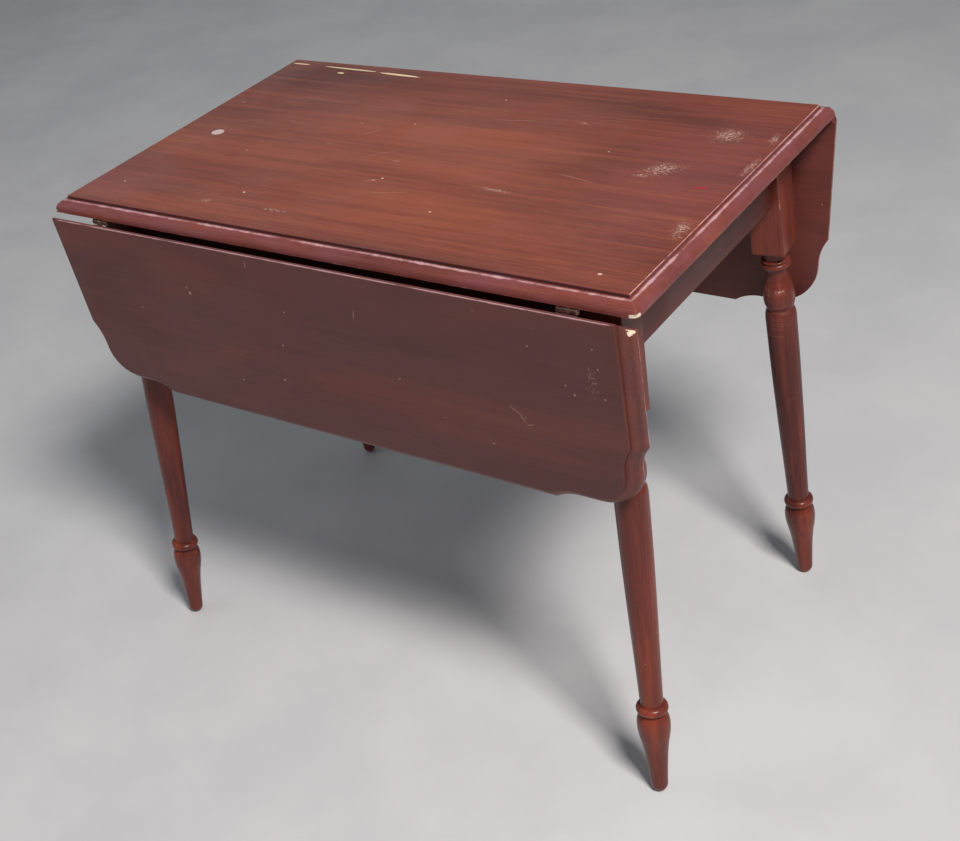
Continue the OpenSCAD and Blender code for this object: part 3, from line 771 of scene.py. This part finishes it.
def dull_metal(name, base, tarnish, seed):
    """Old brassed steel, tarnished and rubbed."""
    p = Paint(name, metallic=0.9, specular=0.5)
    at = (seed, seed * 2, seed * 3)
    patches = p.noise((180, 180, 180), 5, 0.65, 0.4, at)
    scrape = p.noise((60, 900, 900), 3, 0.6, 0.0, at)
    colour = p.ramp(patches, [(0.38, tarnish), (0.62, base)])
    colour = p.mix(p.step(scrape, 0.55, 0.75, 0, 0.4), colour, rgb(196, 170, 130))
    return p.finish(colour, p.step(patches, 0.35, 0.65, 0.62, 0.34), p.bump(scrape, 0.00003))


def paint_node(name, material, bevel=0.0):
    """Gives a CAD node its finish and slightly rounded edges."""
    node = frame["nodes"][name]
    node.data.materials.clear()
    node.data.materials.append(material)
    if bevel:
        weld = node.modifiers.new("weld", "WELD")
        weld.merge_threshold = 0.00002
        edges = node.modifiers.new("edges", "BEVEL")
        edges.width = bevel
        edges.segments = 2
        edges.limit_method = "ANGLE"
        edges.angle_limit = math.radians(50)


# ---------------------------------------------------------------- the table

top = build_top()
# The top's moulding colour is worn stain with a painted sky sheen.
top.data.materials.append(stained_wood(
    "top_stain", rgb(100, 50, 40), rgb(127, 63, 48), rgb(148, 76, 53), rubbed_and_sheen=rgb(124, 70, 76),
    contrast=1.25, marks=top_marks, gloss=0.36))

leaf_end = Vector((-HALF_L + 2.3 * MM, 2.3 * MM, PIN_DROP + 8 * MM))
front_leaf = build_leaf("front", True, [(leaf_end, 7 * MM, Vector((1.4, 1.0, -1.2)) * MM)])
back_leaf = build_leaf("back", False, [(leaf_end, 5 * MM, Vector((1.0, 0.8, -0.8)) * MM)])
# The leaves' moulding colour is worn stain, lightened as if sunlit: painted light.
LEAF_RUBBED_AND_LIT = rgb(118, 62, 54)
front_leaf_tones = (rgb(90, 52, 50), rgb(98, 56, 52), rgb(112, 62, 54))
back_leaf_tones = (rgb(74, 34, 32), rgb(86, 40, 36), rgb(104, 48, 40))
front_leaf.data.materials.append(stained_wood(
    "front_leaf_stain", *front_leaf_tones, contrast=0.45, gloss=0.42, rubbed_and_sheen=LEAF_RUBBED_AND_LIT,
    marks=front_leaf_marks, seed=2))
back_leaf.data.materials.append(stained_wood(
    "back_leaf_stain", *back_leaf_tones, contrast=0.8, gloss=0.42, rubbed_and_sheen=LEAF_RUBBED_AND_LIT, seed=3))

for number, (corner, sx, sy) in enumerate((
        ("front_left", -1, -1), ("front_right", 1, -1), ("back_left", -1, 1), ("back_right", 1, 1))):
    leg = build_leg("turned_leg_" + corner, sx, sy)
    leg.data.materials.append(stained_wood(
        "leg_stain_" + corner, rgb(82, 38, 34), rgb(106, 48, 40), rgb(134, 62, 46), axis="Z", contrast=0.9,
        gloss=0.3, marks=leg_marks, seed=5 + number))

rail_tones = (rgb(66, 34, 34), rgb(92, 46, 42), rgb(112, 56, 46))
side_stain = stained_wood("side_rail_stain", *rail_tones, contrast=0.6, gloss=0.46, own=False, seed=11)
end_stain = stained_wood(
    "end_rail_stain", *rail_tones, axis="Y", contrast=0.6, gloss=0.46, own=False, seed=12)
bare_x = bare_wood("bare_wood_across", rgb(122, 88, 60), rgb(176, 138, 98), "X", 1)
bare_y = bare_wood("bare_wood_deep", rgb(122, 88, 60), rgb(176, 138, 98), "Y", 2)
dowel = bare_wood("dowel_wood", rgb(150, 118, 84), rgb(196, 164, 120), "Z", 3)
hinge_metal = dull_metal("hinge_metal", rgb(160, 128, 118), rgb(98, 74, 68), 1)
screw_metal = dull_metal("screw_metal", rgb(168, 156, 138), rgb(96, 84, 70), 2)

for name in frame["nodes"]:
    if name in ("rail_front", "rail_back"):
        paint_node(name, side_stain, 0.8 * MM)
    elif name in ("rail_left", "rail_right"):
        paint_node(name, end_stain, 0.8 * MM)
    elif name.startswith("brace_") and name != "brace_screws" or name == "slide_guide":
        paint_node(name, bare_x, 0.6 * MM)
    elif name.startswith("slide_") and name != "slide_guide_screws":
        paint_node(name, bare_y, 0.6 * MM)
    elif name.startswith("stop_peg"):
        paint_node(name, dowel, 0.4 * MM)
    elif "screws" in name:
        paint_node(name, screw_metal)
    elif name.startswith("hinge_"):
        paint_node(name, hinge_metal, 0.2 * MM)

# ---------------------------------------------------------------- floor and light

FLOOR_HALF = 6.0
floor_mesh = bpy.data.meshes.new("floor")
floor_corners = [(x * FLOOR_HALF, y * FLOOR_HALF, 0) for x, y in ((-1, -1), (1, -1), (1, 1), (-1, 1))]
floor_mesh.from_pydata(floor_corners, [], [(0, 1, 2, 3)])
floor = bpy.data.objects.new("floor", floor_mesh)
bpy.context.scene.collection.objects.link(floor)
floor_paint = Paint("floor_paint", roughness=0.85, specular=0.2)
floor_tone = floor_paint.noise((3, 3, 3), 5, 0.6)
floor_mesh.materials.append(floor_paint.finish(
    floor_paint.ramp(floor_tone, [(0.3, rgb(202, 202, 204)), (0.7, rgb(212, 212, 212))])))

KEY_FROM = Vector((0.53, -0.33, 0.78))
TABLE_MIDDLE = Vector((0, 0, 0.45))


def area_light(name, direction, distance, size, watts, tint):
    """A square light at a distance from the table's middle, turned towards it."""
    data = bpy.data.lights.new(name, "AREA")
    data.size = size
    data.energy = watts
    data.color = tint
    light = bpy.data.objects.new(name, data)
    light.location = TABLE_MIDDLE + direction.normalized() * distance
    light.rotation_euler = direction.to_track_quat("Z", "Y").to_euler()
    bpy.context.scene.collection.objects.link(light)


area_light("key", KEY_FROM, 4.0, 0.9, 170, (1.0, 0.96, 0.93))
area_light("fill", Vector((-0.8, -0.5, 0.6)), 4.5, 3.0, 19, (0.92, 0.95, 1.0))
area_light("back", Vector((-0.9, 0.9, 0.9)), 4.5, 3.0, 8, (0.95, 0.97, 1.0))

world = bpy.data.worlds.new("studio")
world.use_nodes = True
world.node_tree.nodes["Background"].inputs["Color"].default_value = (0.86, 0.92, 1.0, 1)
world.node_tree.nodes["Background"].inputs["Strength"].default_value = 0.16
bpy.context.scene.world = world
bpy.context.scene.view_settings.view_transform = "Standard"
